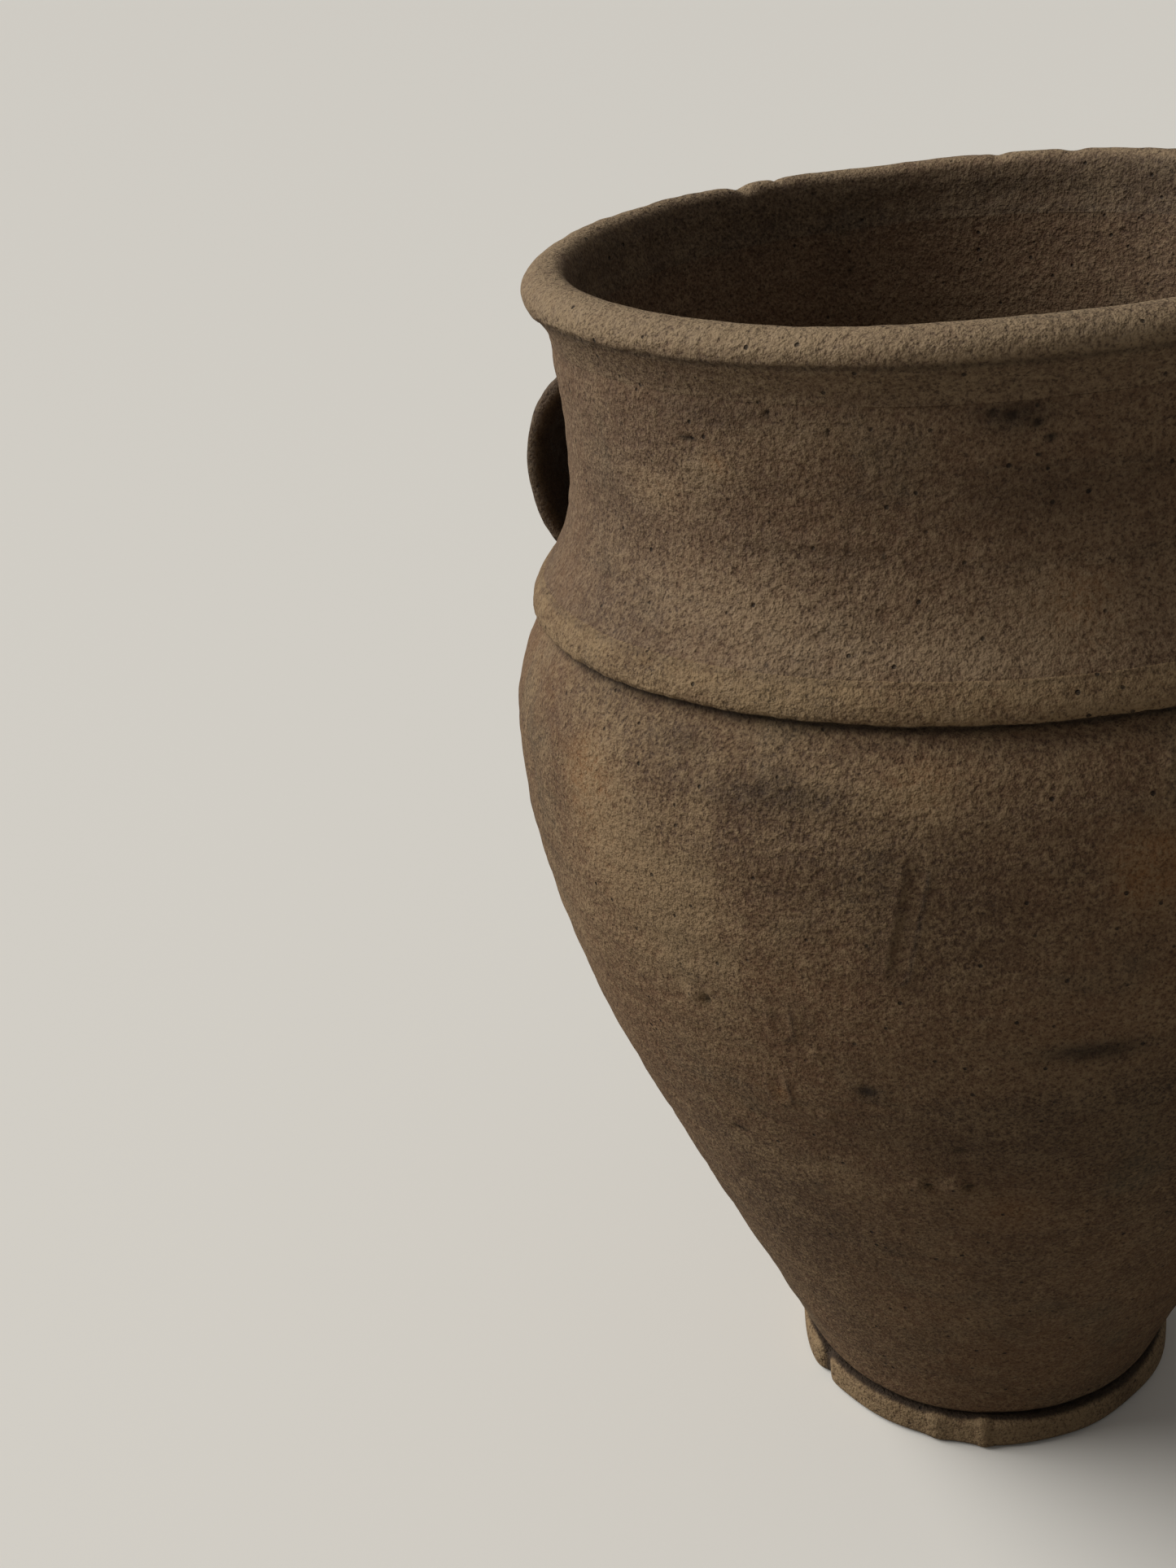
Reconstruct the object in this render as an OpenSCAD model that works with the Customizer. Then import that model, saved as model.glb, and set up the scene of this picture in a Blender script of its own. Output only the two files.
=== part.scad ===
// Olive jar of hand-thrown, smoke-darkened earthenware, in millimetres with +Z up.
// The origin is the middle of the foot's underside, the front is -Y and the handles lie along X.
// Points of an outline are [radius, height].

/* [Foot] */
// Width of the foot disc
foot_d = 138; // [116:1:160]
// Thickness of the foot disc
foot_h = 12.5; // [8:0.5:20]
// Rounding of the worn edge of the foot disc
foot_round = 2.5; // [1:0.5:4]

/* [Body] */
// Width of the cone at its lower end, before the heel rounds in
base_d = 134.5; // [110:0.5:150]
// Rounding of the heel, which leaves a dark groove over the foot
heel_r = 4.5; // [2:0.5:7]
// Outward lean of the cone for each millimetre of height
cone_lean = 0.42; // [0.3:0.01:0.5]
// Widest diameter of the belly
belly_d = 298.6; // [270:0.2:330]
// Height of the belly's widest line above the foot
belly_h = 252.5; // [230:0.5:270]
// Height of the joint between the two thrown parts of the body, above the foot
section_h = 150; // [110:1:200]
// Height of the body from the foot to the underside of the shoulder band
body_h = 303.5; // [290:0.5:323]
// Lean of the shoulder just under the band, inward for each millimetre of height
shoulder_lean = 0.62; // [0.45:0.01:0.8]
// Thickness of the body's wall, measured level
body_wall = 10; // [7:0.5:13]
// Thickness of the floor inside the body
floor_t = 12; // [9:0.5:18]
// Rounding where the floor turns up into the wall
floor_round = 14; // [8:1:24]

/* [Shoulder band] */
// Diameter of the joint of neck and body, where the band is pressed on
collar_d = 272; // [262:1:280]
// Height of the band
band_h = 10; // [7:0.5:14]
// How far the band stands out from the joint
band_out = 3.5; // [2:0.5:5]

/* [Neck] */
// Height of the neck from the band to the underside of the rim
neck_h = 74; // [64:0.5:86]
// Narrowest outer diameter of the neck
waist_d = 246; // [234:1:256]
// Height of the narrowest line above the band
waist_h = 40; // [34:0.5:48]
// Outer diameter of the neck under the rim
neck_top_d = 250; // [240:1:256]
// Thickness of the neck's wall, measured level
neck_wall = 9; // [7:0.5:12]

/* [Rim] */
// Outer diameter of the rolled rim
rim_d = 264; // [258:1:276]
// Inner diameter of the mouth
mouth_d = 235; // [226:1:240]
// Height of the rim
rim_h = 20; // [16:1:26]
// Rounding of the roll's outer edge
roll_r = 6; // [4:0.5:7]
// Rounding of the mouth's edge
lip_r = 5; // [3:0.5:6]
// Step where the rolled clay's lower edge lies on the neck
rim_step = 1; // [0.5:0.5:3]

/* [Handles] */
// Width of the strap
handle_w = 34; // [26:1:42]
// Thickness of the strap
handle_t = 11; // [8:0.5:14]
// Clear gap for the fingers between the neck's narrowest line and the strap
finger_gap = 23; // [18:0.5:32]
// Drop from the rim's underside to the top of the strap's centre line
handle_drop = 19.5; // [15:0.5:27]
// Depth of the loop's lowest centre point below the band
handle_land = 29.5; // [22:0.5:38]

/* [Hidden] */
$fn = 120;

// Finest height step that the wall's outline keeps apart
step_eps = 0.01;

// Heights from the floor
section_z = foot_h + section_h;
belly_z = foot_h + belly_h;
shoulder_z = foot_h + body_h;
band_top_z = shoulder_z + band_h;
neck_joint_z = shoulder_z + band_h / 2;
waist_z = band_top_z + waist_h;
rim_z = band_top_z + neck_h;
total_h = rim_z + rim_h;
floor_z = foot_h + floor_t;

// How far the curves keep their first and last direction, as shares of their height
cone_pull = 0.53;
belly_pull = 0.245;
shoulder_pull = 0.42;
flare_out_pull = 0.09;
flare_in_pull = 0.64;
flare_lean = 0.45;
neck_pull = 0.37;

function bezier(p0, p1, p2, p3, steps) = [
    for (i = [0:steps])
        let (t = i / steps)
        p0 * (1 - t) ^ 3 + 3 * p1 * t * (1 - t) ^ 2 + 3 * p2 * t ^ 2 * (1 - t) + p3 * t ^ 3
];
function arc(centre, r, from, to, steps) = [
    for (i = [0:steps])
        let (a = from + (to - from) * i / steps)
        centre + r * [cos(a), sin(a)]
];
function reversed(points) = [for (i = [len(points) - 1:-1:0]) points[i]];
function after_first(points) = [for (i = [1:len(points) - 1]) points[i]];
function inset(points, wall) = [for (p = points) p - [wall, 0]];

// Heel, cone, shoulder, flare and upper neck, the wall's outside from the foot to the rim
cone_angle = atan(cone_lean);
heel = arc([base_d / 2 - heel_r, foot_h + heel_r], heel_r, -90, -cone_angle, steps = 5);
cone_start = heel[len(heel) - 1];
cone_rise = belly_z - cone_start[1];
belly_point = [belly_d / 2, belly_z];
cone = bezier(
    cone_start,
    cone_start + cone_pull * cone_rise * [cone_lean, 1],
    belly_point - [0, belly_pull * cone_rise],
    belly_point,
    steps = 12
);
collar_low = [collar_d / 2, shoulder_z];
collar_top = [collar_d / 2, band_top_z];
shoulder_rise = shoulder_z - belly_z;
shoulder = bezier(
    belly_point,
    belly_point + [0, shoulder_pull * shoulder_rise],
    collar_low + shoulder_pull * shoulder_rise * [shoulder_lean, -1],
    collar_low,
    steps = 7
);
waist_point = [waist_d / 2, waist_z];
flare = bezier(
    collar_top,
    collar_top + flare_out_pull * waist_h * [-flare_lean, 1],
    waist_point - [0, flare_in_pull * waist_h],
    waist_point,
    steps = 8
);
neck_top = [neck_top_d / 2, rim_z];
upper_rise = rim_z - waist_z;
upper_neck = bezier(
    waist_point,
    waist_point + [0, neck_pull * upper_rise],
    neck_top - [0, neck_pull * upper_rise],
    neck_top,
    steps = 4
);
outer_wall = concat(
    heel,
    after_first(cone),
    after_first(shoulder),
    [collar_top],
    after_first(flare),
    after_first(upper_neck)
);
wall_table = [for (p = outer_wall) [p[1], p[0]]];
function wall_r(z) = lookup(z, wall_table);
function wall_between(low, high) = concat(
    [[wall_r(low), low]],
    [for (p = outer_wall) if (p[1] > low + step_eps && p[1] < high - step_eps) p],
    [[wall_r(high), high]]
);

// Inside of the body, where the floor turns up into the leaning wall
bowl_mid_r = wall_r(floor_z) - body_wall + floor_round * (cone_lean * (1 - sin(cone_angle)) - cos(cone_angle));
bowl = arc([bowl_mid_r, floor_z + floor_round], floor_round, -90, -cone_angle, steps = 6);
bowl_top_z = bowl[len(bowl) - 1][1];

// Rolled rim, from the step on the neck over the roll and down into the mouth
roll_from = -30;
roll_mid = [rim_d / 2 - roll_r, total_h - roll_r];
lip_mid = [mouth_d / 2 + lip_r, total_h - lip_r];
rim_outside = concat(
    [[neck_top_d / 2 + rim_step, rim_z]],
    arc(roll_mid, roll_r, roll_from, 90, steps = 8)
);
rim_inside = concat(arc(lip_mid, lip_r, 90, 180, steps = 6), [[neck_top_d / 2 - neck_wall, rim_z]]);

// Band's swelling section, flat where it is pressed on the joint
band_full = 0.7;
band_steps = 6;
band_section = [
    for (i = [0:band_steps])
        let (a = -90 + 180 * i / band_steps)
        [collar_d / 2 + band_out * max(cos(a), 0) ^ band_full, neck_joint_z + band_h / 2 * sin(a)]
];

// Strap handle, a round loop with a flattened section that thins to its edges.
// It sweeps a little past a half turn, so that both ends run into the neck and shoulder.
loop_r = (rim_z - handle_drop - shoulder_z + handle_land) / 2;
loop_z = shoulder_z - handle_land + loop_r;
loop_x = waist_d / 2 + finger_gap + handle_t / 2 - loop_r;
strap_square = 0.8;
strap_sides = 12;
loop_sweep = 200;
function keep_sign(v, power) = sign(v) * abs(v) ^ power;
strap_section = [
    for (i = [0:strap_sides - 1])
        let (a = 360 * i / strap_sides)
        [loop_r + handle_t / 2 * keep_sign(cos(a), strap_square), handle_w / 2 * keep_sign(sin(a), strap_square)]
];

module thrown(outline) {
    rotate_extrude() polygon(outline);
}

module neck_and_shoulder() {
    low = loop_z - loop_r - handle_t;
    thrown(concat(
        [[0, low]],
        wall_between(low, shoulder_z),
        band_section,
        wall_between(band_top_z, rim_z),
        [[0, rim_z]]
    ));
}

module foot() {
    color("#54442f")
    thrown(concat(
        [[0, 0]],
        arc([foot_d / 2 - foot_round, foot_round], foot_round, -90, 0, steps = 4),
        arc([foot_d / 2 - foot_round, foot_h - foot_round], foot_round, 0, 90, steps = 4),
        [[0, foot_h]]
    ));
}

module lower_body() {
    color("#5e4c38")
    thrown(concat(
        [[0, foot_h]],
        wall_between(foot_h, section_z),
        reversed(inset(wall_between(bowl_top_z, section_z), body_wall)),
        reversed(bowl),
        [[0, floor_z]]
    ));
}

module upper_body() {
    color("#6a553c")
    thrown(concat(
        wall_between(section_z, neck_joint_z),
        reversed(inset(wall_between(section_z, neck_joint_z), body_wall))
    ));
}

module shoulder_band() {
    color("#786145")
    thrown(band_section);
}

module neck() {
    color("#655240")
    thrown(concat(
        wall_between(neck_joint_z, rim_z),
        reversed(inset(wall_between(neck_joint_z, rim_z), neck_wall))
    ));
}

module rim() {
    color("#75624b")
    thrown(concat(rim_outside, rim_inside));
}

module handle() {
    color("#4a3d30")
    difference() {
        translate([-loop_x, 0, loop_z])
            rotate([90, 0, 180])
                rotate([0, 0, -loop_sweep / 2])
                    rotate_extrude(angle = loop_sweep) polygon(strap_section);
        neck_and_shoulder();
    }
}

module handle_left() {
    handle();
}

module handle_right() {
    rotate([0, 0, 180]) handle();
}

foot();
lower_body();
upper_body();
shoulder_band();
neck();
rim();
handle_left();
handle_right();
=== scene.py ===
import itertools
import math

import bmesh
import bpy
import numpy as np
from mathutils import Matrix, Vector


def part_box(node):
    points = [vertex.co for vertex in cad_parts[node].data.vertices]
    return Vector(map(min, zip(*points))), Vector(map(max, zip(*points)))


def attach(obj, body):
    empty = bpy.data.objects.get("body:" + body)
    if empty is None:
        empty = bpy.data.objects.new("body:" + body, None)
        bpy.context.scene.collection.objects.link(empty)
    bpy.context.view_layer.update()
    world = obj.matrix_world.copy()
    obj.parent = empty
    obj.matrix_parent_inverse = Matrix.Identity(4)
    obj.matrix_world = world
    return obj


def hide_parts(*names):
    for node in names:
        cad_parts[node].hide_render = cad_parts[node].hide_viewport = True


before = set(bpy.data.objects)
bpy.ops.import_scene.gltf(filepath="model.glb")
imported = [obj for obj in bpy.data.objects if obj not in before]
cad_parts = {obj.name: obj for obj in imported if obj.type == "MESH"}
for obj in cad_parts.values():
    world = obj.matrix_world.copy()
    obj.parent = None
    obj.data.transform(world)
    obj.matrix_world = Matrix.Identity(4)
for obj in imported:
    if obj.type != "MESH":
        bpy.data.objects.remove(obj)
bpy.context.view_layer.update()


# Table, window light and camera
# The jar stands by itself on a pale table top that runs on past the picture on every side. A big
# window at the left lights it softly, and the room adds a little warm light from all round.

mm = 0.001
camera_place = Vector((202.1, -555.2, 530.8)) * mm
camera_right = Vector((0.8637, 0.4932, -0.1041)).normalized()
camera_up = Vector((-0.1370, 0.4284, 0.8931)).normalized()
camera_lens = 43.9
table_half = 40.0
window_from = Vector((-0.80, -0.22, 0.62))


def srgb(red, green, blue):
    """A colour as it is read off a screen, 0 to 255, as the linear colour that a shader takes."""
    parts = [c / 255 for c in (red, green, blue)]
    return tuple(c / 12.92 if c <= 0.04045 else ((c + 0.055) / 1.055) ** 2.4 for c in parts) + (1.0,)


view_back = camera_right.cross(camera_up).normalized()
true_up = view_back.cross(camera_right)
camera_data = bpy.data.cameras.new("camera")
camera_data.sensor_width = 36.0
camera_data.lens = camera_lens
camera_data.clip_start = 0.02
camera_data.clip_end = 200.0
camera = bpy.data.objects.new("camera", camera_data)
turn_matrix = Matrix((camera_right, true_up, view_back)).transposed().to_4x4()
camera.matrix_world = Matrix.Translation(camera_place) @ turn_matrix
bpy.context.scene.collection.objects.link(camera)
bpy.context.scene.camera = camera

window = bpy.data.lights.new("window", "SUN")
window.energy = 3.3
window.angle = math.radians(50)
window.color = (1.0, 0.975, 0.94)
window_object = bpy.data.objects.new("window", window)
window_object.rotation_euler = window_from.to_track_quat("Z", "Y").to_euler()
bpy.context.scene.collection.objects.link(window_object)

room = bpy.data.worlds.new("room")
bpy.context.scene.world = room
room.use_nodes = True
room_light = room.node_tree.nodes["Background"]
room_light.inputs["Color"].default_value = (1.0, 0.95, 0.9, 1.0)
room_light.inputs["Strength"].default_value = 0.2

bpy.context.scene.view_settings.view_transform = "Standard"

table_mesh = bpy.data.meshes.new("table_top")
corners = [(-table_half, -table_half, 0), (table_half, -table_half, 0)]
corners += [(table_half, table_half, 0), (-table_half, table_half, 0)]
table_mesh.from_pydata(corners, [], [(0, 1, 2, 3)])
table_top = bpy.data.objects.new("table_top", table_mesh)
bpy.context.scene.collection.objects.link(table_top)
table_paint = bpy.data.materials.new("table_paint")
table_paint.use_nodes = True
table_tree = table_paint.node_tree
table_shader = table_tree.nodes["Principled BSDF"]
table_colour = table_tree.nodes.new("ShaderNodeMix")
table_colour.data_type = "RGBA"
thrown_back, seen = [s for s in table_colour.inputs if s.type == "RGBA"]
thrown_back.default_value = srgb(150, 145, 136)
seen.default_value = srgb(228, 227, 222)
light_path = table_tree.nodes.new("ShaderNodeLightPath")
table_tree.links.new(light_path.outputs["Is Camera Ray"], table_colour.inputs["Factor"])
mixed_paint = [s for s in table_colour.outputs if s.type == "RGBA"][0]
table_tree.links.new(mixed_paint, table_shader.inputs["Base Color"])
table_shader.inputs["Roughness"].default_value = 0.7
table_shader.inputs["Specular IOR Level"].default_value = 0.2
table_mesh.materials.append(table_paint)


# Foot
# A thick disc of coarse clay that was pressed under the cone once the body had stiffened. Its edge
# was pinched round with the fingers, so it is uneven, with a notch and lumps, and rubbed pale.

foot_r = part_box("foot")[1].x
foot_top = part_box("foot")[1].z
foot_round = 3.0 * mm
foot_bulge = 0.8 * mm
foot_notch = 2.4 * mm
notch_at = -128
lumps_at = (-84, -70)
columns = 720
sharp_from = math.radians(55)


def clay_noise(points, grain, seed):
    """Smooth noise between -1 and 1 with lumps about one grain wide, for an array of points."""
    scaled = points / grain + 1000.0
    cell = np.floor(scaled).astype(np.int64)
    part = scaled - cell
    part = part * part * (3 - 2 * part)
    total = np.zeros(points.shape[:-1])
    for corner in itertools.product((0, 1), repeat=3):
        key = cell + np.array(corner)
        mixed = key[..., 0] * 73856093 ^ key[..., 1] * 19349663 ^ key[..., 2] * 83492791 ^ seed * 40503
        mixed = (mixed ^ (mixed >> 13)) * 1274126177 & 0xFFFFFFFF
        mixed = (mixed ^ (mixed >> 15)) * 2246822519 & 0xFFFFFFFF
        value = mixed / 2.0**31 - 1
        weight = np.prod(np.where(corner, part, 1 - part), axis=-1)
        total += value * weight
    return total


def fade(value, low, high):
    """0 below low, 1 above high and a smooth rise between."""
    share = np.clip((value - low) / (high - low), 0, 1)
    return share * share * (3 - 2 * share)


def hump(value, middle, half):
    """A smooth hump of height 1 at middle that has died away about two halves off."""
    return np.exp(-(((value - middle) / half) ** 2))


def angle_from(turn, degrees):
    """How far a turn lies from a direction given in degrees, in radians, the short way round."""
    return (turn - math.radians(degrees) + math.pi) % (2 * math.pi) - math.pi


def shaped(name, points, faces, marks):
    """A piece from its points and faces, with its marks laid on as attributes."""
    mesh = bpy.data.meshes.new(name)
    mesh.from_pydata(points.reshape(-1, 3), [], faces)
    worked = bmesh.new()
    worked.from_mesh(mesh)
    for key, values in marks.items():
        layer = worked.verts.layers.float.new(key)
        for vert, value in zip(worked.verts, values.reshape(-1)):
            vert[layer] = value
    bmesh.ops.remove_doubles(worked, verts=worked.verts, dist=1e-6)
    bmesh.ops.recalc_face_normals(worked, faces=worked.faces)
    worked.to_mesh(mesh)
    worked.free()
    mesh.polygons.foreach_set("use_smooth", [True] * len(mesh.polygons))
    mesh.set_sharp_from_angle(angle=sharp_from)
    piece = bpy.data.objects.new(name, mesh)
    bpy.context.scene.collection.objects.link(piece)
    return piece


def turned(name, outline, shape, paint):
    """A piece turned on the wheel. outline is a loop of [radius, height] that runs up the outside.
    shape(turn, radius, height) moves each point as the potter's hands did."""
    outline = np.array(outline, float)
    turn = np.linspace(0, 2 * math.pi, columns, endpoint=False)[None, :]
    radius, height = shape(turn, outline[:, :1] + 0 * turn, outline[:, 1:] + 0 * turn)
    points = np.stack([radius * np.cos(turn), radius * np.sin(turn), height], axis=-1)
    index = np.arange(len(outline) * columns).reshape(-1, columns)
    beside, above = np.roll(index, -1, axis=1), np.roll(index, -1, axis=0)
    opposite = np.roll(beside, -1, axis=0)
    faces = np.stack([index, beside, opposite, above], axis=-1).reshape(-1, 4)
    return shaped(name, points, faces, paint(turn + 0 * height, points))


class Clay:
    """A fired clay surface, built up node by node on the piece's own coordinates."""

    def __init__(self, name):
        self.material = bpy.data.materials.new(name)
        self.material.use_nodes = True
        self.tree = self.material.node_tree
        self.shader = self.tree.nodes["Principled BSDF"]
        self.place = self.tree.nodes.new("ShaderNodeTexCoord").outputs["Object"]

    def noise(self, scale, detail=3.0, rough=0.55, stretch=(1, 1, 1)):
        """Noise with scale lumps in each metre, drawn out along an axis by a small stretch there."""
        mapping = self.tree.nodes.new("ShaderNodeMapping")
        mapping.inputs["Scale"].default_value = stretch
        self.tree.links.new(self.place, mapping.inputs["Vector"])
        node = self.tree.nodes.new("ShaderNodeTexNoise")
        node.inputs["Scale"].default_value = scale
        node.inputs["Detail"].default_value = detail
        node.inputs["Roughness"].default_value = rough
        self.tree.links.new(mapping.outputs["Vector"], node.inputs["Vector"])
        return node.outputs["Fac"]

    def pits(self, scale, size):
        """Small round pits: 1 inside a pit and 0 outside, with scale cells in each metre."""
        node = self.tree.nodes.new("ShaderNodeTexVoronoi")
        node.inputs["Scale"].default_value = scale
        self.tree.links.new(self.place, node.inputs["Vector"])
        return self.span(node.outputs["Distance"], size, size * 0.4)

    def span(self, value, low, high, bottom=0.0, top=1.0):
        """value from low to high, spread smoothly from bottom to top."""
        node = self.tree.nodes.new("ShaderNodeMapRange")
        node.interpolation_type = "SMOOTHSTEP"
        self.tree.links.new(value, node.inputs["Value"])
        for socket, number in zip(("From Min", "From Max", "To Min", "To Max"), (low, high, bottom, top)):
            node.inputs[socket].default_value = number
        return node.outputs["Result"]

    def math(self, kind, first, second):
        """Two numbers or sockets worked into one. What is added or taken away stays from 0 to 1."""
        node = self.tree.nodes.new("ShaderNodeMath")
        node.operation = kind
        node.use_clamp = kind in ("ADD", "SUBTRACT")
        for socket, value in zip(node.inputs, (first, second)):
            if isinstance(value, (int, float)):
                socket.default_value = value
            else:
                self.tree.links.new(value, socket)
        return node.outputs["Value"]

    def painted(self, key):
        """A mark laid on the mesh as an attribute."""
        node = self.tree.nodes.new("ShaderNodeAttribute")
        node.attribute_name = key
        return node.outputs["Fac"]

    def tint(self, under, colour, share):
        """colour laid over what is under it, as thick as share says."""
        node = self.tree.nodes.new("ShaderNodeMix")
        node.data_type = "RGBA"
        for socket, value in (("A", under), ("B", colour)):
            target = [s for s in node.inputs if s.name == socket and s.type == "RGBA"][0]
            if isinstance(value, tuple):
                target.default_value = value
            else:
                self.tree.links.new(value, target)
        self.tree.links.new(share, [s for s in node.inputs if s.name == "Factor"][0])
        return [s for s in node.outputs if s.type == "RGBA"][0]

    def finish(self, colour, bumps):
        """Joins the colour and the bumps, a list of (height, distance in metres), to the shader."""
        self.tree.links.new(colour, self.shader.inputs["Base Color"])
        self.shader.inputs["Specular IOR Level"].default_value = 0.25
        roughness = self.span(self.noise(180, 4), 0.3, 0.7, 0.78, 0.94)
        self.tree.links.new(roughness, self.shader.inputs["Roughness"])
        normal = None
        for height, distance in bumps:
            node = self.tree.nodes.new("ShaderNodeBump")
            node.inputs["Strength"].default_value = 1.0
            node.inputs["Distance"].default_value = distance
            self.tree.links.new(height, node.inputs["Height"])
            if normal:
                self.tree.links.new(normal, node.inputs["Normal"])
            normal = node.outputs["Normal"]
        self.tree.links.new(normal, self.shader.inputs["Normal"])
        return self.material


def smoked_clay(name, dark, warm, sand, wear):
    """Sandy earthenware that the kiln's smoke has darkened, rubbed back to sand colour in patches. It is
    darkened further by painted shade in its pits and between its grains, and by the soot and painted
    shade that each piece lays on.
    """
    streak_brown, damp_olive = srgb(70, 56, 45), srgb(92, 86, 69)
    burnt_orange, soot_and_shade_black = srgb(140, 98, 58), srgb(36, 28, 22)
    grain_shadow, pit_shade_black = srgb(40, 31, 24), srgb(26, 20, 16)
    clay = Clay(name)
    clouds = clay.noise(9, 4)
    streaks = clay.noise(14, 4, 0.6, (0.5, 0.5, 9))
    damp = clay.noise(26, 4)
    mottle = clay.noise(70, 5, 0.65)
    bumps = clay.noise(430, 2, 0.6)
    grains = clay.noise(950, 2, 0.75)
    ground = clay.tint(dark, warm, clay.span(clouds, 0.36, 0.62))
    ground = clay.tint(ground, streak_brown, clay.span(streaks, 0.50, 0.74, 0.0, 0.5))
    ground = clay.tint(ground, damp_olive, clay.span(damp, 0.52, 0.75, 0.0, 0.5))
    ground = clay.tint(ground, burnt_orange, clay.span(clay.painted("ochre"), 0.0, 1.0, 0.0, 0.7))
    rubbed = clay.math("ADD", clay.span(mottle, 0.38, 0.72, 0.0, wear), clay.painted("rubbed"))
    speck = clay.math("ADD", clay.math("MULTIPLY", grains, 0.6), clay.math("MULTIPLY", bumps, 0.4))
    limit = clay.math("SUBTRACT", clay.math("ADD", speck, clay.math("MULTIPLY", rubbed, 0.22)), 0.40)
    colour = clay.tint(ground, sand, clay.span(limit, 0.0, 0.36, 0.0, 0.9))
    colour = clay.tint(colour, grain_shadow, clay.span(grains, 0.5, 0.28, 0.0, 0.55))
    # Soot, and the painted shade that each piece lays on its hollows, creases and undersides, in one dark
    # colour.
    colour = clay.tint(colour, soot_and_shade_black, clay.span(clay.painted("soot"), 0.0, 1.0, 0.0, 0.85))
    # Small pits, darkened with painted shade as well as sunk by the bump.
    holes = clay.pits(140, 0.11)
    colour = clay.tint(colour, pit_shade_black, clay.math("MULTIPLY", holes, 0.8))
    depth = clay.math("SUBTRACT", 1.0, holes)
    return clay.finish(colour, [(bumps, 1.1 * mm), (grains, 0.55 * mm), (depth, 0.6 * mm)])


def pinch_foot(turn, radius, height):
    """Finger pinches round the edge, the notch at the left and the lumps at the front."""
    edge = fade(radius, foot_r * 0.6, foot_r)
    wave = 0.5 * np.sin(5 * turn + 0.6) + 0.35 * np.sin(11 * turn + 2.0) + 0.3 * np.sin(2 * turn)
    notch = hump(angle_from(turn, notch_at), 0, 0.05)
    pinched = hump(angle_from(turn, lumps_at[0]), 0, 0.06) + hump(angle_from(turn, lumps_at[1]), 0, 0.04)
    radius = radius + edge * (foot_bulge * wave - foot_notch * notch + 1.2 * mm * pinched)
    top = fade(height, foot_top * 0.5, foot_top) * edge
    height = height + top * (0.5 * mm * wave - 1.5 * mm * notch + 0.8 * mm * pinched)
    return radius, height


def foot_outline():
    """Half section of the disc, with its worn round edge."""
    middle_r = foot_r - foot_round
    low_edge = [
        (middle_r + foot_round * math.cos(a), foot_round + foot_round * math.sin(a))
        for a in np.linspace(-math.pi / 2, 0, 13)
    ]
    high_edge = [
        (middle_r + foot_round * math.cos(a), foot_top - foot_round + foot_round * math.sin(a))
        for a in np.linspace(0, math.pi / 2, 13)
    ]
    underside = [(r, 0.0) for r in np.linspace(0, middle_r, 10)[:-1]]
    top = [(r, foot_top) for r in np.linspace(middle_r, 0, 12)[1:]]
    return underside + low_edge + high_edge + top


def foot_paint(turn, points):
    """The edge is rubbed, and the rest, which the cone and the table hide, is painted dark as shade."""
    edge = fade(np.hypot(points[..., 0], points[..., 1]), foot_r * 0.97, foot_r)
    return {"rubbed": 0.7 * edge, "ochre": 0 * turn, "soot": 1 - edge}


foot = turned("foot", foot_outline(), pinch_foot, foot_paint)
foot_clay = smoked_clay("foot_clay", srgb(84, 66, 48), srgb(100, 76, 54), srgb(140, 119, 90), 0.3)
foot.data.materials.append(foot_clay)
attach(foot, "root")
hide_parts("foot")


# Lower body
# The cone and floor of the body, thrown first and left to stiffen. Its wall was ribbed smooth, and
# bits of clay and finger marks from luting on the upper part were left standing near its top.

wall_nodes = ("lower_body", "upper_body", "neck")
joint_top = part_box("lower_body")[1].z
band_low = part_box("shoulder_band")[0].z
band_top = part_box("shoulder_band")[1].z
rim_low, rim_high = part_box("rim")[0].z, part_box("rim")[1].z


def outer_rings(node):
    """Heights and radii of the rings on a turned node's outside, whose faces look away from the axis."""
    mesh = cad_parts[node].data
    outside = [f for f in mesh.polygons if f.normal.xy.dot(f.center.xy) > 0.02 * f.center.xy.length]
    corners = {v for face in outside for v in face.vertices}
    places = [mesh.vertices[v].co for v in corners]
    radius_at = {round(place.z, 4): place.xy.length for place in places}
    heights = np.array(sorted(radius_at))
    return heights, np.array([radius_at[z] for z in heights])


def through(heights, radii):
    """A smooth line through rings of the wall, as a function of height."""
    slope = np.gradient(radii, heights)

    def radius_at(z):
        i = np.clip(np.searchsorted(heights, z) - 1, 0, len(heights) - 2)
        step = heights[i + 1] - heights[i]
        t = np.clip((z - heights[i]) / step, 0, 1)
        start = (1 + 2 * t) * (1 - t) ** 2 * radii[i] + t * (1 - t) ** 2 * step * slope[i]
        end = t * t * (3 - 2 * t) * radii[i + 1] + t * t * (t - 1) * step * slope[i + 1]
        return start + end

    return radius_at


rings = [outer_rings(node) for node in wall_nodes]
all_heights = np.concatenate([r[0] for r in rings])
all_outside = np.concatenate([r[1] for r in rings])
all_heights, first = np.unique(all_heights, return_index=True)
wall_outside = through(all_heights, all_outside[first])
body_wall = 10 * mm
neck_wall = 9 * mm
floor_thick = 12 * mm
bowl_round = 14 * mm
# The band's crookedness fades in between the first two heights and out between the last two. The
# walls begin to run out of round over loose_from, and the lip begins to wave over wavy_from.
crooked_from, crooked_to = (0.262, 0.305), (0.335, 0.392)
loose_from, wavy_from = (0.03, 0.12), (0.39, 0.42)


def crease_lift(turn):
    """How far the hand-pressed band and the neck's foot wander above or below their mean height."""
    off = angle_from(turn, -61)
    left = hump(angle_from(turn, -165), 0, 0.35)
    return (4.0 * np.cos(off) + 0.6 * np.cos(2 * off) - 1.6 - 1.8 * left) * mm


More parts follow.
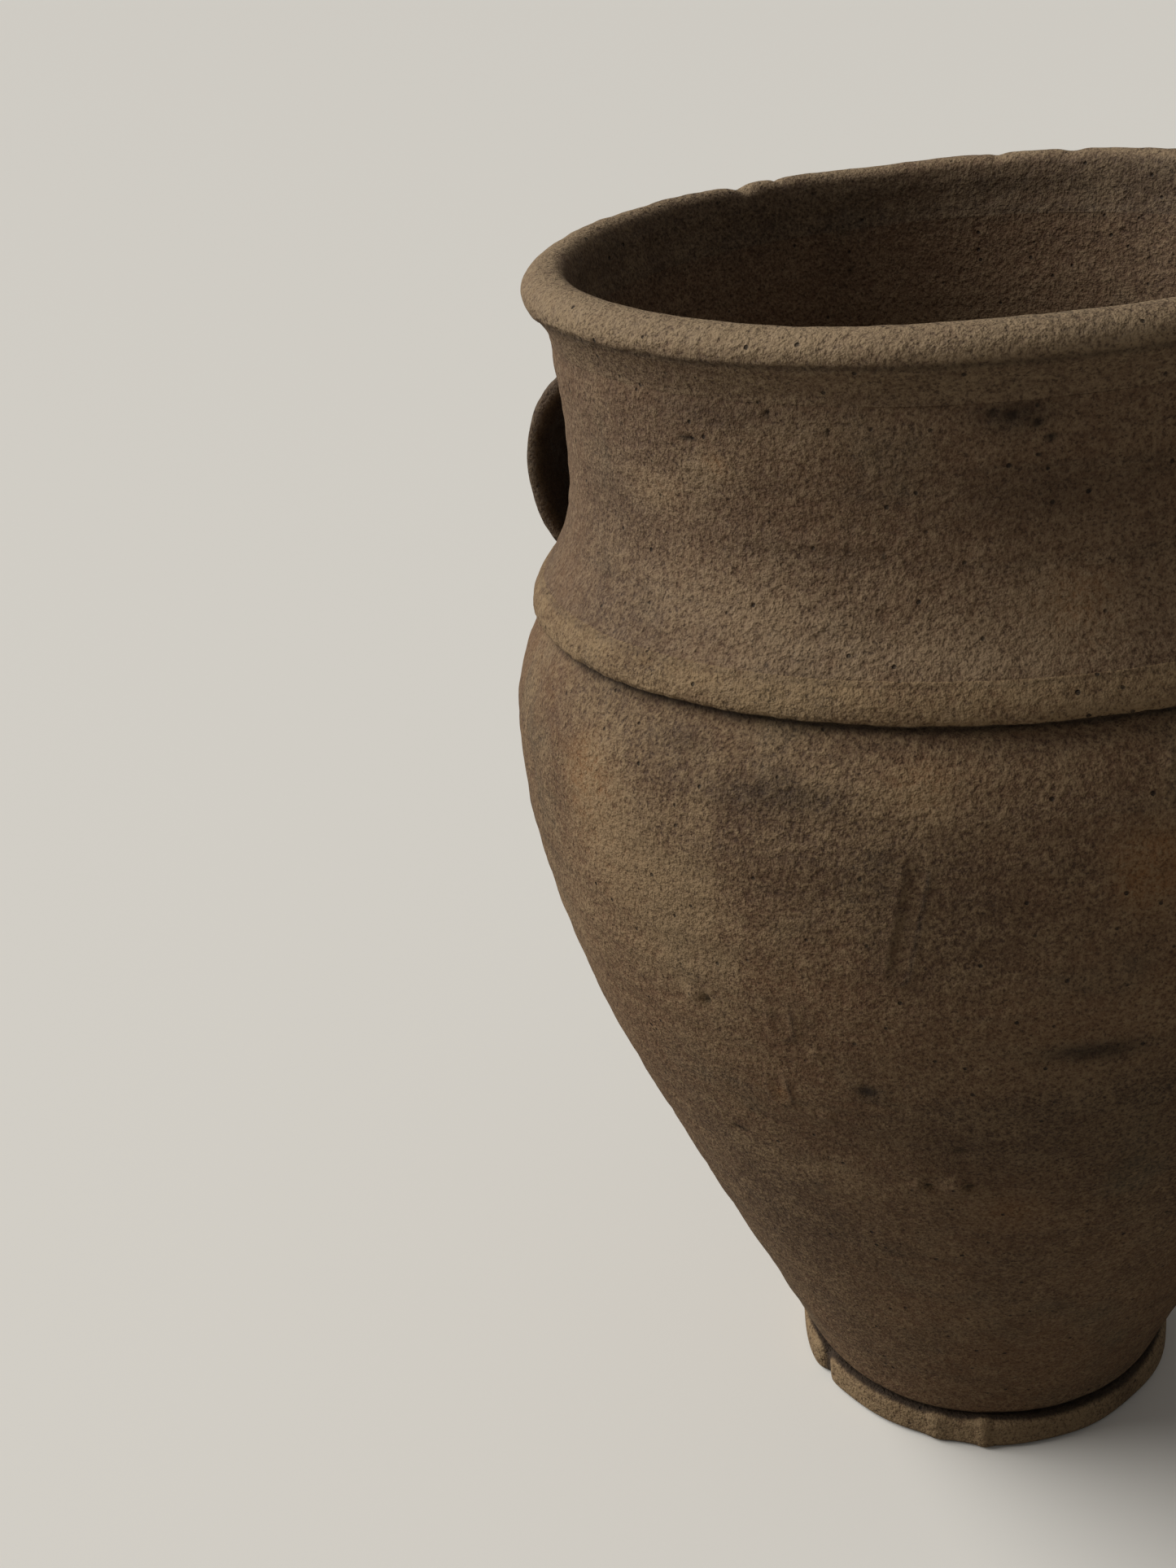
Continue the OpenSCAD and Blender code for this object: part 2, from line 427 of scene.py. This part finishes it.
def by_hand(turn, radius, height):
    """The jar's own crookedness, the same for every turned piece above the foot, to keep seams shut."""
    near_crease = fade(height, *crooked_from) * (1 - fade(height, *crooked_to))
    near_rim = fade(height, *wavy_from)
    height = height + crease_lift(turn) * near_crease
    height = height + near_rim * (0.5 * np.sin(2 * turn + 0.8) + 0.35 * np.sin(5 * turn)) * mm
    loose = fade(height, *loose_from)
    round_off = 0.5 * np.cos(2 * turn + 0.5) + 0.3 * np.cos(3 * turn + 1.2)
    return radius + loose * round_off * mm, height


# Each mark is a direction in degrees, a height in metres, and a half width, half height and depth in
# millimetres.
lumps = [
    (-104.0, 0.2268, 2.4, 2.4, 1.1),
    (-88.2, 0.2168, 2.0, 1.6, 0.9),
    (-88.7, 0.1893, 2.2, 1.6, 1.0),
    (-72.9, 0.1632, 4.6, 4.2, 1.6),
    (-78.1, 0.1624, 2.6, 2.6, 1.2),
    (-49.5, 0.3041, 2.0, 2.0, 1.5),
    (-36.0, 0.1800, 3.0, 2.0, 1.0),
    (-20.0, 0.2500, 2.5, 2.0, 0.9),
    (60.0, 0.1700, 3.6, 3.0, 1.3),
    (75.0, 0.2300, 2.2, 2.6, 1.0),
    (120.0, 0.1610, 3.2, 2.6, 1.2),
    (150.0, 0.2100, 2.6, 2.2, 0.9),
]
hollows = [
    (-102.2, 0.2262, 1.4, 1.8, 1.3),
    (-104.9, 0.1670, 3.2, 1.2, 0.9),
    (-82.8, 0.2036, 3.4, 2.4, 0.5),
    (-71.4, 0.1640, 1.8, 1.6, 1.5),
    (-76.9, 0.1624, 1.3, 1.5, 1.3),
    (-72.4, 0.1812, 3.2, 1.2, 0.8),
    (-57.0, 0.2220, 7.0, 1.0, 0.5),
    (95.0, 0.1660, 3.0, 1.4, 0.9),
    (40.0, 0.2600, 4.0, 1.0, 0.6),
    (170.0, 0.2400, 5.0, 1.2, 0.6),
]
# Each drip is a direction in degrees, the height of its round end in metres, and a half width and a
# length up the wall in millimetres.
drips = [
    (-92.1, 0.2230, 3.6, 14.0),
    (-94.6, 0.1931, 3.6, 12.0),
    (110.0, 0.2050, 3.4, 16.0),
]


def near(turn, height, mark):
    """How squarely a point lies on a mark, from 1 at its middle to 0 away from it."""
    degrees, level, half_width, half_height = mark[:4]
    across = angle_from(turn, degrees) * wall_outside(level) / (half_width * mm)
    along = (height - level) / (half_height * mm)
    return np.exp(-(across**2 + along**2) ** 1.5)


def drip_ring(turn, height, mark):
    """The raised outline of a drip: two sides joined by a half round end."""
    degrees, level, half_width, length = mark
    across = angle_from(turn, degrees) * wall_outside(level)
    along = height - level
    reach = np.where(along < 0, np.hypot(across, along), abs(across))
    ring = hump(reach, half_width * mm, 0.9 * mm)
    return ring * (1 - fade(along, length * 0.5 * mm, length * mm))


swipe_top = (-75.6, 0.2819)
swipe_end = (-78.0, 0.2504)
swipe_half = 3.2 * mm


def swipe(turn, height):
    """A fingertip drawn down the wall: how far a point lies from its middle line and past its end."""
    share = np.clip((swipe_top[1] - height) / (swipe_top[1] - swipe_end[1]), 0, 1)
    middle = swipe_top[0] + share * (swipe_end[0] - swipe_top[0])
    off = angle_from(turn, 0) - np.radians(middle)
    off = (off + math.pi) % (2 * math.pi) - math.pi
    across = off * wall_outside(swipe_end[1])
    past = np.clip(swipe_end[1] - height, 0, None)
    return np.hypot(across, past), across


# Rows of unevenness are a depth and a grain in millimetres, and a seed.
throwing = [(0.22, 3.2, 5), (0.30, 9, 6)]
body_dents = [(0.55, 34, 1), (0.16, 7, 2), (0.07, 2.6, 3)]
drip_rise = 0.55 * mm
swipe_depth, swipe_lip = 0.45 * mm, 0.5 * mm
coil_step, coil_depth = 8.5 * mm, 0.45 * mm
inner_ridges = [(0.3, 5, 9)]


def uneven(points, rows):
    """Unevenness of several sizes, added up, in metres."""
    return sum(depth * mm * clay_noise(points, grain * mm, seed) for depth, grain, seed in rows)


def throwing_lines(points):
    """Low ridges that the fingers leave as the clay turns, drawn out round the wall."""
    return uneven(points * np.array([0.12, 0.12, 1.0]), throwing)


def body_relief(turn, height, points):
    """Everything that stands out from, or is pressed into, the outside of the body."""
    relief = throwing_lines(points) + uneven(points, body_dents)
    for mark in lumps:
        relief += mark[4] * mm * near(turn, height, mark)
    for mark in hollows:
        relief -= mark[4] * mm * near(turn, height, mark)
    for mark in drips:
        relief += drip_rise * drip_ring(turn, height, mark)
    reach = swipe(turn, height)[0]
    down = fade(swipe_top[1] + 4 * mm - height, 0, 6 * mm) * (height > swipe_end[1] - 8 * mm)
    groove = 1 - fade(reach, swipe_half * 0.7, swipe_half)
    return relief + down * (swipe_lip * hump(reach, swipe_half * 1.1, 0.8 * mm) - swipe_depth * groove)


def body_shape(turn, radius, height):
    """The body's wall as the potter left it: crooked, ribbed and marked outside, ridged inside."""
    outside = radius > wall_outside(height) - 0.5 * body_wall
    points = np.stack([radius * np.cos(turn), radius * np.sin(turn), height], axis=-1)
    relief = body_relief(turn, height, points)
    coil = np.sin(height / coil_step * 2 * math.pi + turn)
    ridges = coil_depth * coil + uneven(points * np.array([0.2, 0.2, 1]), inner_ridges)
    on_floor = height < foot_top + floor_thick + 1 * mm
    radius = radius + np.where(outside, relief, np.where(on_floor, 0, ridges))
    return by_hand(turn, np.clip(radius, 0, None), height)


def wall_loop(low, high, wall, outer_rows, inner_rows):
    """Section of a thrown wall between two heights: up the outside and down the inside."""
    up = np.linspace(low, high, outer_rows)
    down = np.linspace(high, low, inner_rows)
    outside = np.stack([wall_outside(up), up], -1)
    inside = np.stack([wall_outside(down) - wall, down], -1)
    return np.concatenate([outside, inside])


# Each patch is a direction in degrees, a height in metres, a half width and half height along the
# wall in millimetres, and a strength.
rubbed_patches = [
    (-109, 0.262, 26, 22, 0.75),
    (-116, 0.285, 14, 22, 0.5),
    (-103, 0.245, 20, 30, 0.45),
    (-76, 0.300, 26, 10, 0.55),
    (-100, 0.292, 5, 24, 0.45),
    (-130, 0.225, 30, 34, 0.35),
    (-95, 0.160, 30, 6, 0.3),
    (-60, 0.215, 30, 16, 0.25),
    (30, 0.270, 40, 26, 0.5),
    (95, 0.240, 40, 34, 0.5),
    (150, 0.285, 34, 20, 0.5),
    (-165, 0.240, 36, 30, 0.45),
]
ochre_patches = [
    (-118, 0.286, 13, 15, 0.9),
    (-112, 0.262, 22, 18, 0.45),
    (-75, 0.304, 14, 8, 0.6),
    (-52, 0.279, 13, 13, 0.8),
    (-94.6, 0.194, 3.4, 4, 0.8),
    (-66, 0.150, 12, 10, 0.35),
    (70, 0.260, 22, 16, 0.6),
    (140, 0.200, 24, 18, 0.5),
]
# Soot, and painted shade: the small patches at -58 and -82.8 degrees lie over hollows and paint their
# shade, and the narrow ones from 0.298 to 0.308 m darken the wall just under the band.
soot_and_shade_patches = [
    (-50, 0.190, 60, 40, 0.35),
    (-84, 0.180, 40, 20, 0.25),
    (-58, 0.222, 16, 4, 0.6),
    (-82.8, 0.2036, 4.5, 3.5, 0.6),
    (-96, 0.298, 34, 7, 0.35),
    (-104, 0.308, 14, 4, 0.4),
    (-88, 0.300, 16, 5, 0.3),
    (10, 0.180, 60, 50, 0.35),
    (120, 0.130, 50, 34, 0.35),
]


def patches(turn, height, rows):
    """Soft-edged patches added up, at most 1."""
    total = np.zeros_like(height)
    for degrees, level, half_width, half_height, strength in rows:
        across = angle_from(turn, degrees) * wall_outside(level) / (half_width * mm)
        along = (height - level) / (half_height * mm)
        total += strength * np.exp(-(across**2 + along**2))
    return np.clip(total, 0, 1)


def body_paint(turn, points):
    """Rubbed and ochre places on the body, soot, and painted shade in hollows, beside drips and the
    swipe, under the band and above the foot.
    """
    height = points[..., 2]
    ragged = 0.25 * clay_noise(points, 9 * mm, 21) + 0.2 * clay_noise(points, 3.5 * mm, 22)
    soot = patches(turn, height, soot_and_shade_patches)
    # Painted shade in the hollows.
    for mark in hollows:
        soot = np.maximum(soot, 0.9 * near(turn, height, mark))
    # Painted shade on the side of each drip that looks away from the window.
    for mark in drips:
        shaded = drip_ring(turn, height, mark) * (angle_from(turn, mark[0]) > 0)
        soot = np.maximum(soot, 0.6 * shaded)
    # Painted shade along the edges of the finger swipe, heavier on one side.
    reach, across = swipe(turn, height)
    below_top = fade(swipe_top[1] - height, -4 * mm, 2 * mm) * (height > swipe_end[1] - 5 * mm)
    edge = hump(reach, swipe_half, 0.8 * mm) * np.where(across > 0, 0.8, 0.3)
    soot = np.maximum(soot, below_top * edge)
    # Painted shade in the crease under the band and in the groove just above the foot.
    crease_shade = hump(height - crease_lift(turn), band_low - 1.0 * mm, 1.6 * mm)
    foot_gap_shade = 1 - fade(height, foot_top, foot_top + 5 * mm)
    soot = np.maximum(soot, np.maximum(0.9 * crease_shade, foot_gap_shade))
    rubbed = patches(turn, height, rubbed_patches)
    ochre = patches(turn, height, ochre_patches)
    return {
        "rubbed": np.clip(rubbed * (1 + ragged), 0, 1),
        "ochre": np.clip(ochre * (1 + 1.4 * ragged), 0, 1),
        "soot": np.clip(soot * (1 + 0.5 * ragged), 0, 1),
    }


cone_rows, cone_rows_inside = 118, 34


def lower_outline():
    """Section of the cone and its floor."""
    floor_z = foot_top + floor_thick
    bowl_z = floor_z + bowl_round
    bowl_r = wall_outside(bowl_z) - body_wall - bowl_round
    wall = wall_loop(foot_top, joint_top, body_wall, cone_rows, cone_rows_inside)
    outside, inside = wall[:cone_rows], wall[cone_rows:]
    corner = [
        (bowl_r + bowl_round * math.cos(a), bowl_z + bowl_round * math.sin(a))
        for a in np.linspace(0, -math.pi / 2, 9)
    ]
    floor = [(r, floor_z) for r in np.linspace(bowl_r, 0, 12)[1:]]
    under = [(r, foot_top) for r in np.linspace(0, wall_outside(foot_top), 12)[:-1]]
    return np.concatenate([outside, inside[inside[:, 1] > bowl_z], corner, floor, under])


lower_body = turned("lower_body", lower_outline(), body_shape, body_paint)
body_clay = smoked_clay("body_clay", srgb(88, 67, 50), srgb(106, 79, 57), srgb(142, 120, 91), 0.4)
lower_body.data.materials.append(body_clay)
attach(lower_body, "root")
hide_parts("lower_body")


# Upper body
# The belly and shoulder, thrown as a wide ring and luted on the stiffened cone. The joint was wiped
# over outside, so that only a few bits of clay show where it runs.

upper_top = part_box("upper_body")[1].z
upper_outline = wall_loop(joint_top, upper_top, body_wall, 106, 26)
upper_body = turned("upper_body", upper_outline, body_shape, body_paint)
upper_body.data.materials.append(body_clay)
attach(upper_body, "root")
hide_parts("upper_body")


# Neck
# A thrown collar with a drawn-in waist, set on the shoulder and wiped with wet fingers, which drew
# the grit out and left pits, a curved crack and pale rubbed places.

neck_low, neck_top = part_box("neck")[0].z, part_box("neck")[1].z
neck_dents = [(0.4, 30, 1), (0.18, 7, 2), (0.07, 2.6, 3)]
neck_ridges = [(0.3, 3.5, 9)]
neck_pits = [
    (-64.8, 0.3965, 2.0, 1.6, 0.8),
    (-62.0, 0.3940, 1.6, 1.4, 0.8),
    (-67.0, 0.3975, 1.4, 1.2, 0.7),
    (-60.5, 0.3900, 1.6, 1.2, 0.7),
    (-93.5, 0.3975, 0.9, 1.2, 1.2),
    (-105.9, 0.3879, 3.6, 0.9, 0.8),
    (-86.0, 0.3930, 1.0, 0.8, 0.8),
    (-80.0, 0.3600, 1.0, 0.8, 0.6),
    (-45.0, 0.3600, 1.2, 1.0, 0.7),
    (-20.0, 0.3800, 1.4, 1.0, 0.8),
    (40.0, 0.3700, 1.4, 1.2, 0.8),
    (90.0, 0.3500, 3.4, 0.9, 0.8),
    (130.0, 0.3850, 1.4, 1.2, 0.8),
]
neck_rubbed = [
    (-112, 0.372, 12, 6, 0.8),
    (-103, 0.380, 10, 5, 0.7),
    (-100, 0.345, 40, 10, 0.5),
    (-75, 0.335, 50, 7, 0.5),
    (-60, 0.345, 26, 12, 0.5),
    (-88, 0.392, 26, 5, 0.4),
    (30, 0.350, 50, 12, 0.5),
    (110, 0.360, 50, 14, 0.5),
]
neck_ochre = [
    (-112, 0.372, 12, 6, 0.5),
    (-102, 0.381, 5, 4, 0.8),
    (-58, 0.345, 14, 12, 0.6),
    (100, 0.350, 20, 12, 0.6),
]
# Soot, and painted shade: the patches from 0.39 to 0.3965 m paint the shade under the rim's roll and
# around the pits there, and the others darken the neck in broad patches.
neck_soot_and_shade = [
    (-64.8, 0.3965, 12, 5, 0.6),
    (-100, 0.396, 30, 5, 0.4),
    (-60, 0.3750, 40, 12, 0.4),
    (-92, 0.360, 30, 6, 0.3),
    (-150, 0.340, 20, 20, 0.3),
    (20, 0.390, 40, 10, 0.4),
]


def neck_shape(turn, radius, height):
    """The neck's wall, wiped and pitted outside and ridged inside."""
    outside = radius > wall_outside(height) - 0.5 * neck_wall
    points = np.stack([radius * np.cos(turn), radius * np.sin(turn), height], axis=-1)
    relief = throwing_lines(points) + uneven(points, neck_dents)
    for mark in neck_pits:
        relief -= mark[4] * mm * near(turn, height, mark)
    held = fade(height, neck_low, neck_low + 6 * mm)
    ridges = uneven(points * np.array([0.15, 0.15, 1]), neck_ridges)
    radius = radius + np.where(outside, relief * held, ridges)
    return by_hand(turn, radius, height)


def neck_paint(turn, points):
    """Rubbed and ochre places on the neck, soot, and painted shade in the pits and under the rim."""
    height = points[..., 2]
    ragged = 0.25 * clay_noise(points, 9 * mm, 21) + 0.2 * clay_noise(points, 3.5 * mm, 22)
    soot = patches(turn, height, neck_soot_and_shade)
    # Painted shade in the pits.
    for mark in neck_pits:
        soot = np.maximum(soot, near(turn, height, mark))
    return {
        "rubbed": np.clip(patches(turn, height, neck_rubbed) * (1 + ragged), 0, 1),
        "ochre": np.clip(patches(turn, height, neck_ochre) * (1 + 1.4 * ragged), 0, 1),
        "soot": np.clip(soot * (1 + 0.5 * ragged), 0, 1),
    }


neck_outline = wall_loop(neck_low, neck_top, neck_wall, 74, 40)
neck = turned("neck", neck_outline, neck_shape, neck_paint)
neck_clay = smoked_clay("neck_clay", srgb(90, 70, 54), srgb(104, 80, 60), srgb(140, 119, 93), 0.35)
neck.data.materials.append(neck_clay)
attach(neck, "root")
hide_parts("neck")


# Shoulder band
# A thin strip of clay pressed over the joint of neck and shoulder. Its lower edge stands proud, with
# painted shade in the crease under it, and its upper edge was smoothed into the neck but for a faint
# line, painted as a thin line of shade.

band_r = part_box("shoulder_band")[1].x
band_root = wall_outside((band_low + band_top) / 2)
band_dents = [(0.35, 16, 31), (0.15, 4, 32)]
# Steps up the strip's face: how far it stands out, and its height, as shares of the strip's own.
band_face = [
    (0.0, 0.0), (0.5, 0.02), (0.86, 0.09), (1.0, 0.22), (0.98, 0.38),
    (0.84, 0.58), (0.6, 0.78), (0.36, 0.94), (0.12, 1.06), (-0.1, 1.16),
]


def band_outline():
    """Section of the strip: a blunt lower edge, a long soft slope above and its back on the wall."""
    proud = band_r - band_root
    share = np.array(band_face)
    steps = np.linspace(0, len(share) - 1, 46)
    out = np.interp(steps, range(len(share)), share[:, 0])
    up = np.interp(steps, range(len(share)), share[:, 1])
    face = np.stack([band_root + proud * out, band_low + (band_top - band_low) * up], -1)
    back = [(band_root - 2 * mm, face[-1][1]), (band_root - 2 * mm, band_low + 0.2 * mm)]
    return np.concatenate([face, back])


def band_shape(turn, radius, height):
    """Finger pressings along the strip and a ragged lower edge."""
    points = np.stack([radius * np.cos(turn), radius * np.sin(turn), height], axis=-1)
    low = 1 - fade(height, band_low, band_low + 4 * mm)
    crumbs = 0.5 * mm * low * clay_noise(points, 2.4 * mm, 33)
    radius = radius + np.where(radius > band_root, uneven(points, band_dents) + crumbs, 0)
    height = height + low * 0.35 * mm * clay_noise(points, 5 * mm, 34)
    return by_hand(turn, radius, height)


def band_paint(turn, points):
    """A rubbed face, with painted shade along its lower edge and a faint line of painted shade along the
    top.
    """
    height = points[..., 2] - crease_lift(turn)
    # Painted shade along the lower edge under its proud lip, and a faint line of painted shade along the
    # top.
    low = 1 - fade(height, band_low, band_low + 1.8 * mm)
    high = hump(height, band_top + 0.8 * mm, 0.9 * mm)
    ragged = clay_noise(points, 6 * mm, 35)
    soot = np.maximum(low, 0.35 * high)
    return {"rubbed": 0.45 + 0.25 * ragged, "ochre": 0.15 + 0.2 * ragged, "soot": soot}


shoulder_band = turned("shoulder_band", band_outline(), band_shape, band_paint)
band_clay = smoked_clay("band_clay", srgb(92, 71, 52), srgb(108, 83, 59), srgb(142, 120, 90), 0.4)
shoulder_band.data.materials.append(band_clay)
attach(shoulder_band, "root")
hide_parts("shoulder_band")


# Rim
# The top of the neck, folded out and rolled over while it was wet. The fold's edge shows as a low ragged
# ledge at the left. The top is rubbed pale where hands and ladles touched it, and this paleness also
# paints the light on the top of the roll; the inside and the underside of the fold carry painted shade.

rim_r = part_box("rim")[1].x
mouth_r = wall_outside(rim_low) - neck_wall + 1.5 * mm
fold_z = 0.4122
fold_drop = 9 * mm
fold_depth = 0.75 * mm
rim_dents = [(0.3, 22, 42), (0.16, 6, 43), (0.08, 2.4, 44)]
# Each chip is a direction in degrees, a half width in radians and a depth in millimetres.
rim_chips = [(148, 0.03, 1.6), (141, 0.014, 0.9), (104, 0.02, 0.8), (92, 0.03, 0.7), (30, 0.02, 0.8)]


def rim_outline():
    """Section of the lip: from the neck out over the roll, across the top and down the mouth."""
    section = [
        (wall_outside(rim_low), rim_low),
        (wall_outside(rim_low) + 0.8 * mm, rim_low + 2.5 * mm),
        (rim_r - 3.4 * mm, fold_z - 5.0 * mm),
        (rim_r - 1.2 * mm, fold_z - 2.0 * mm),
        (rim_r - 0.1 * mm, fold_z + 0.9 * mm),
        (rim_r - 0.4 * mm, fold_z + 3.4 * mm),
        (rim_r - 2.4 * mm, rim_high - 1.9 * mm),
        (rim_r - 5.4 * mm, rim_high - 0.4 * mm),
        (rim_r - 8.6 * mm, rim_high),
        (mouth_r + 3.2 * mm, rim_high - 0.5 * mm),
        (mouth_r + 1.0 * mm, rim_high - 2.2 * mm),
        (mouth_r, rim_high - 5.5 * mm),
        (mouth_r - 0.5 * mm, rim_low + 6 * mm),
        (wall_outside(rim_low) - neck_wall, rim_low),
    ]
    section = np.array(section)
    length = np.concatenate([[0], np.cumsum(np.hypot(*np.diff(section, axis=0).T))])
    steps = np.linspace(0, length[-1], 92)
    return np.stack([through(length, section[:, 0])(steps), through(length, section[:, 1])(steps)], -1)


def fold_height(turn):
    """The fold's edge keeps level along the front and drops at the left side."""
    past = -angle_from(turn, -128)
    return fold_z - fold_drop * fade(past, 0, 0.62) * (1 - fade(past, 1.0, 2.0))


def rim_shape(turn, radius, height):
    """The ledge of the fold, small dents all over and chips along the top."""
    points = np.stack([radius * np.cos(turn), radius * np.sin(turn), height], axis=-1)
    outside = radius > mouth_r + 6 * mm
    ledge_shown = 0.35 + 0.65 * hump(angle_from(turn, -130), 0, 0.7)
    ragged = 0.8 * mm * clay_noise(points, 4 * mm, 41)
    under = fade(fold_height(turn) - height + ragged, 0, 0.9 * mm) * (height > rim_low + 1 * mm)
    ledge = -fold_depth * ledge_shown * under * (1 - fade(fold_height(turn) - height, 3 * mm, 9 * mm))
    held = fade(height, rim_low, rim_low + 3 * mm)
    relief = uneven(points, rim_dents)
    chips = sum(depth * mm * hump(angle_from(turn, at), 0, half) for at, half, depth in rim_chips)
    top = fade(height, rim_high - 5 * mm, rim_high)
    radius = radius + held * np.where(outside, ledge + relief, relief)
    return by_hand(turn, radius, height - top * chips + held * top * relief)


def rim_paint(turn, points):
    """Rubbed pale along the top, which also paints light there, and painted shade inside and under the
    fold.
    """
    height = points[..., 2]
    radius = np.hypot(points[..., 0], points[..., 1])
    # Paler from the roll's widest point up: wear, and painted light on the top of the roll.
    top = fade(height, fold_z - 3 * mm, fold_z + 3 * mm)
    top = top * fade(radius, mouth_r + 0.5 * mm, mouth_r + 5 * mm)
    ragged = clay_noise(points, 12 * mm, 45)
    # Painted shade inside the mouth and under the fold's ledge.
    inside = 1 - fade(radius, mouth_r, mouth_r + 3 * mm)
    under = hump(height, fold_height(turn) - 1.2 * mm, 1.4 * mm)
    under = under * fade(radius, mouth_r + 6 * mm, mouth_r + 8 * mm)
    rubbed = np.clip(top * (0.6 + 0.4 * ragged), 0, 1)
    soot = np.maximum(0.35 * inside, 0.5 * under)
    return {"rubbed": rubbed, "ochre": 0.2 * top * ragged, "soot": soot}


rim = turned("rim", rim_outline(), rim_shape, rim_paint)
rim_clay = smoked_clay("rim_clay", srgb(96, 78, 61), srgb(110, 88, 68), srgb(146, 126, 99), 0.45)
rim.data.materials.append(rim_clay)
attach(rim, "root")
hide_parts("rim")


# Handles
# Two short straps pulled from a lump of clay, pressed on the neck under the rim, looped over and
# pressed down on the shoulder. Each end stops inside the wall's thickness.

strap_low, strap_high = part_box("handle_left")
strap_half = strap_high.y
loop_top, loop_bottom = strap_high.z, strap_low.z
loop_z = (loop_top + loop_bottom) / 2
strap_thick = 11 * mm
loop_r = (loop_top - loop_bottom) / 2 - strap_thick / 2
loop_x = -strap_low.x - strap_thick / 2 - loop_r
strap_rows, strap_sides = 150, 64
strap_from, strap_to = math.radians(-44), math.radians(72)
strap_square = 0.8
strap_dents = [(0.56, 12, 51), (0.28, 5, 52), (0.12, 2.2, 53)]
strap_wrinkle, strap_sink = 0.9 * mm, 0.4 * mm


def squared(wave):
    """A sine or cosine whose curve is pushed out towards a square."""
    return np.sign(wave) * abs(wave) ** strap_square


def strap(name, side, seed):
    """One handle: a flat oval swept round its loop, thicker where it was pressed on."""
    sweep = np.linspace(strap_from, strap_to, strap_rows)[:, None]
    around = np.linspace(0, 2 * math.pi, strap_sides, endpoint=False)[None, :]
    flat = 0 * sweep * around
    ends = fade(abs(sweep), math.radians(48), math.radians(88))
    top_end = ends * (sweep > 0)
    reach = loop_r + strap_thick / 2 * (0.86 + 0.14 * ends) * squared(np.cos(around))
    across = strap_half * (0.94 + 0.06 * ends) * squared(np.sin(around))
    along_x, along_z = loop_x + reach * np.cos(sweep), loop_z + reach * np.sin(sweep)
    points = np.stack([along_x, across, along_z], axis=-1)
    inner = fade(-np.cos(around), 0.1, 0.8) + flat
    own = points + seed
    wrinkles = strap_wrinkle * inner * clay_noise(own * np.array([1.0, 0.35, 1.0]), 4 * mm, 54)
    move = (uneven(own, strap_dents) + wrinkles - strap_sink) * (1 - 0.5 * top_end)
    facing = np.cos(around) + flat
    outward = np.stack([facing * np.cos(sweep), np.sin(around) + flat, facing * np.sin(sweep)], axis=-1)
    points = points + outward * move[..., None]
    toward = np.array(0.0 if side > 0 else math.pi)
    points[..., 2] += crease_lift(toward) * fade(-np.sin(sweep), -0.4, 0.9)
    points[..., 0] *= side
    points[..., 1] *= side
    index = np.arange(strap_rows * strap_sides).reshape(strap_rows, strap_sides)
    here, beside = index[:-1], np.roll(index, -1, axis=1)[:-1]
    above, opposite = index[1:], np.roll(index, -1, axis=1)[1:]
    faces = np.stack([here, beside, opposite, above], axis=-1).reshape(-1, 4).tolist()
    faces += [index[0][::-1].tolist(), index[-1].tolist()]
    # The whole strap is darkened, and its inner face, which looks at the neck, carries painted shade on
    # top.
    marks = {"rubbed": 0.15 * (1 - inner), "ochre": flat, "soot": 0.35 + 0.5 * inner}
    return shaped(name, points, faces, marks)


handle_clay = smoked_clay("handle_clay", srgb(74, 60, 48), srgb(88, 69, 54), srgb(116, 99, 78), 0.2)
for name, side, seed, finish in (
    ("handle_left", -1, 0.0, "left_handle_clay"),
    ("handle_right", 1, 0.37, "right_handle_clay"),
):
    handle = strap(name, side, seed)
    handle.data.materials.append(handle_clay)
    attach(handle, "root")
    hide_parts(name)
